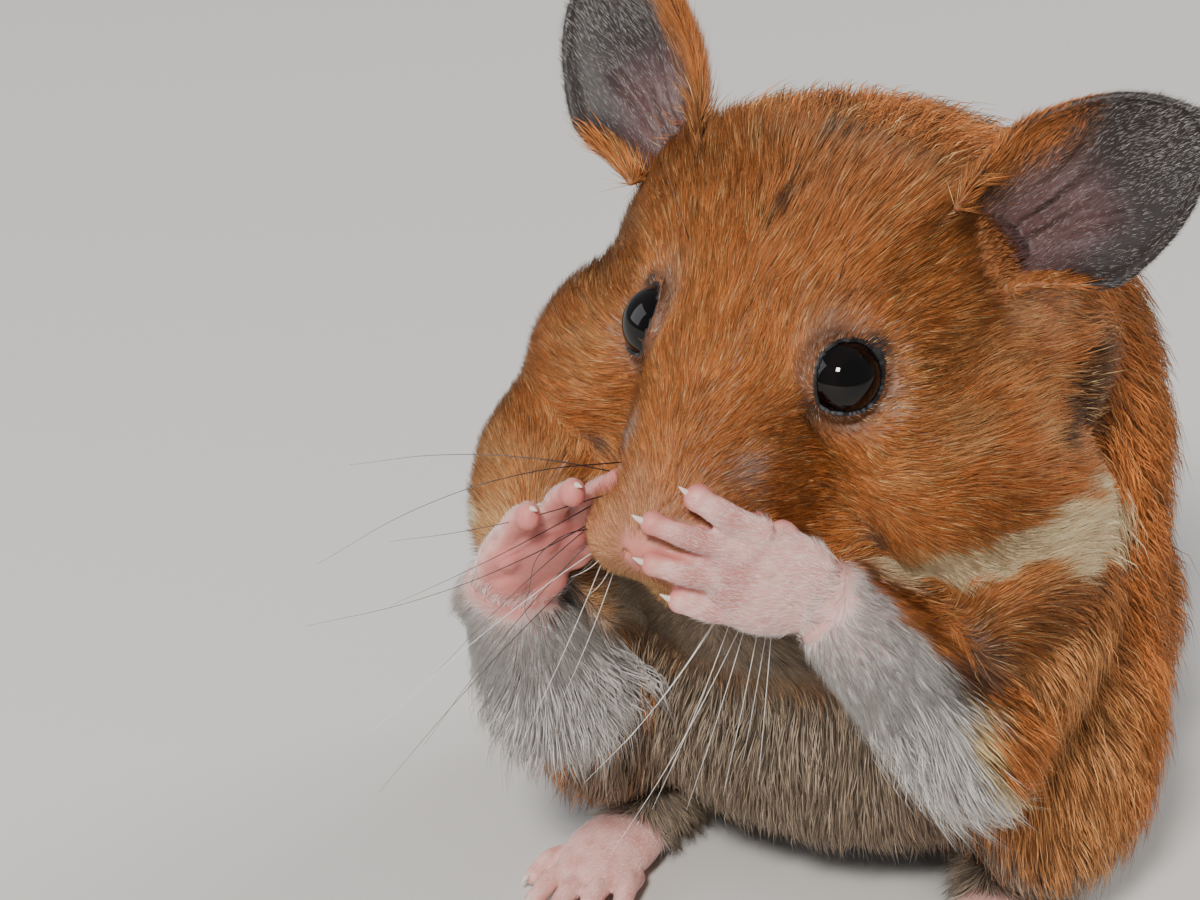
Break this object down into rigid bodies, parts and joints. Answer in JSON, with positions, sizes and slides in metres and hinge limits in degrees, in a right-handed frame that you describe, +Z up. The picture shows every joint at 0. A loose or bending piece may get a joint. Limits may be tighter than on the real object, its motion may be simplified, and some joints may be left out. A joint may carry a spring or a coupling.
{
  "type": "syrian hamster model",
  "caption": "Life-size still model of a golden hamster sitting on its haunches, head turned a little, forepaws raised to the muzzle as if washing.",
  "frame": {"origin": "on the floor under the seat, midway between the haunches", "axes": "-Y is the way the body faces, +X its left side, +Z up"},
  "size_m": [0.057, 0.0736, 0.0761],
  "materials": {
    "head": "soft fur",
    "neck": "soft fur",
    "trunk": "soft fur",
    "tail": "bare skin with short hairs",
    "upper_arm_left": "soft fur",
    "forearm_left": "soft fur",
    "hand_left": "bare skin",
    "hind_leg_left": "soft fur",
    "hind_foot_left": "bare skin",
    "ear_left": "thin skin with fine hairs",
    "eye_left": "wet gloss",
    "upper_arm_right": "soft fur",
    "forearm_right": "soft fur",
    "hand_right": "bare skin",
    "hind_leg_right": "soft fur",
    "hind_foot_right": "bare skin",
    "ear_right": "thin skin with fine hairs",
    "eye_right": "wet gloss"
  },
  "bodies": {
    "root": {"head": "head", "neck": "neck", "trunk": "trunk", "tail": "tail", "upper_arm_left": "upper_arm_left", "forearm_left": "forearm_left", "hand_left": "hand_left", "hind_leg_left": "hind_leg_left", "hind_foot_left": "hind_foot_left", "ear_left": "ear_left", "eye_left": "eye_left", "upper_arm_right": "upper_arm_right", "forearm_right": "forearm_right", "hand_right": "hand_right", "hind_leg_right": "hind_leg_right", "hind_foot_right": "hind_foot_right", "ear_right": "ear_right", "eye_right": "eye_right"}
  },
  "joints": []
}
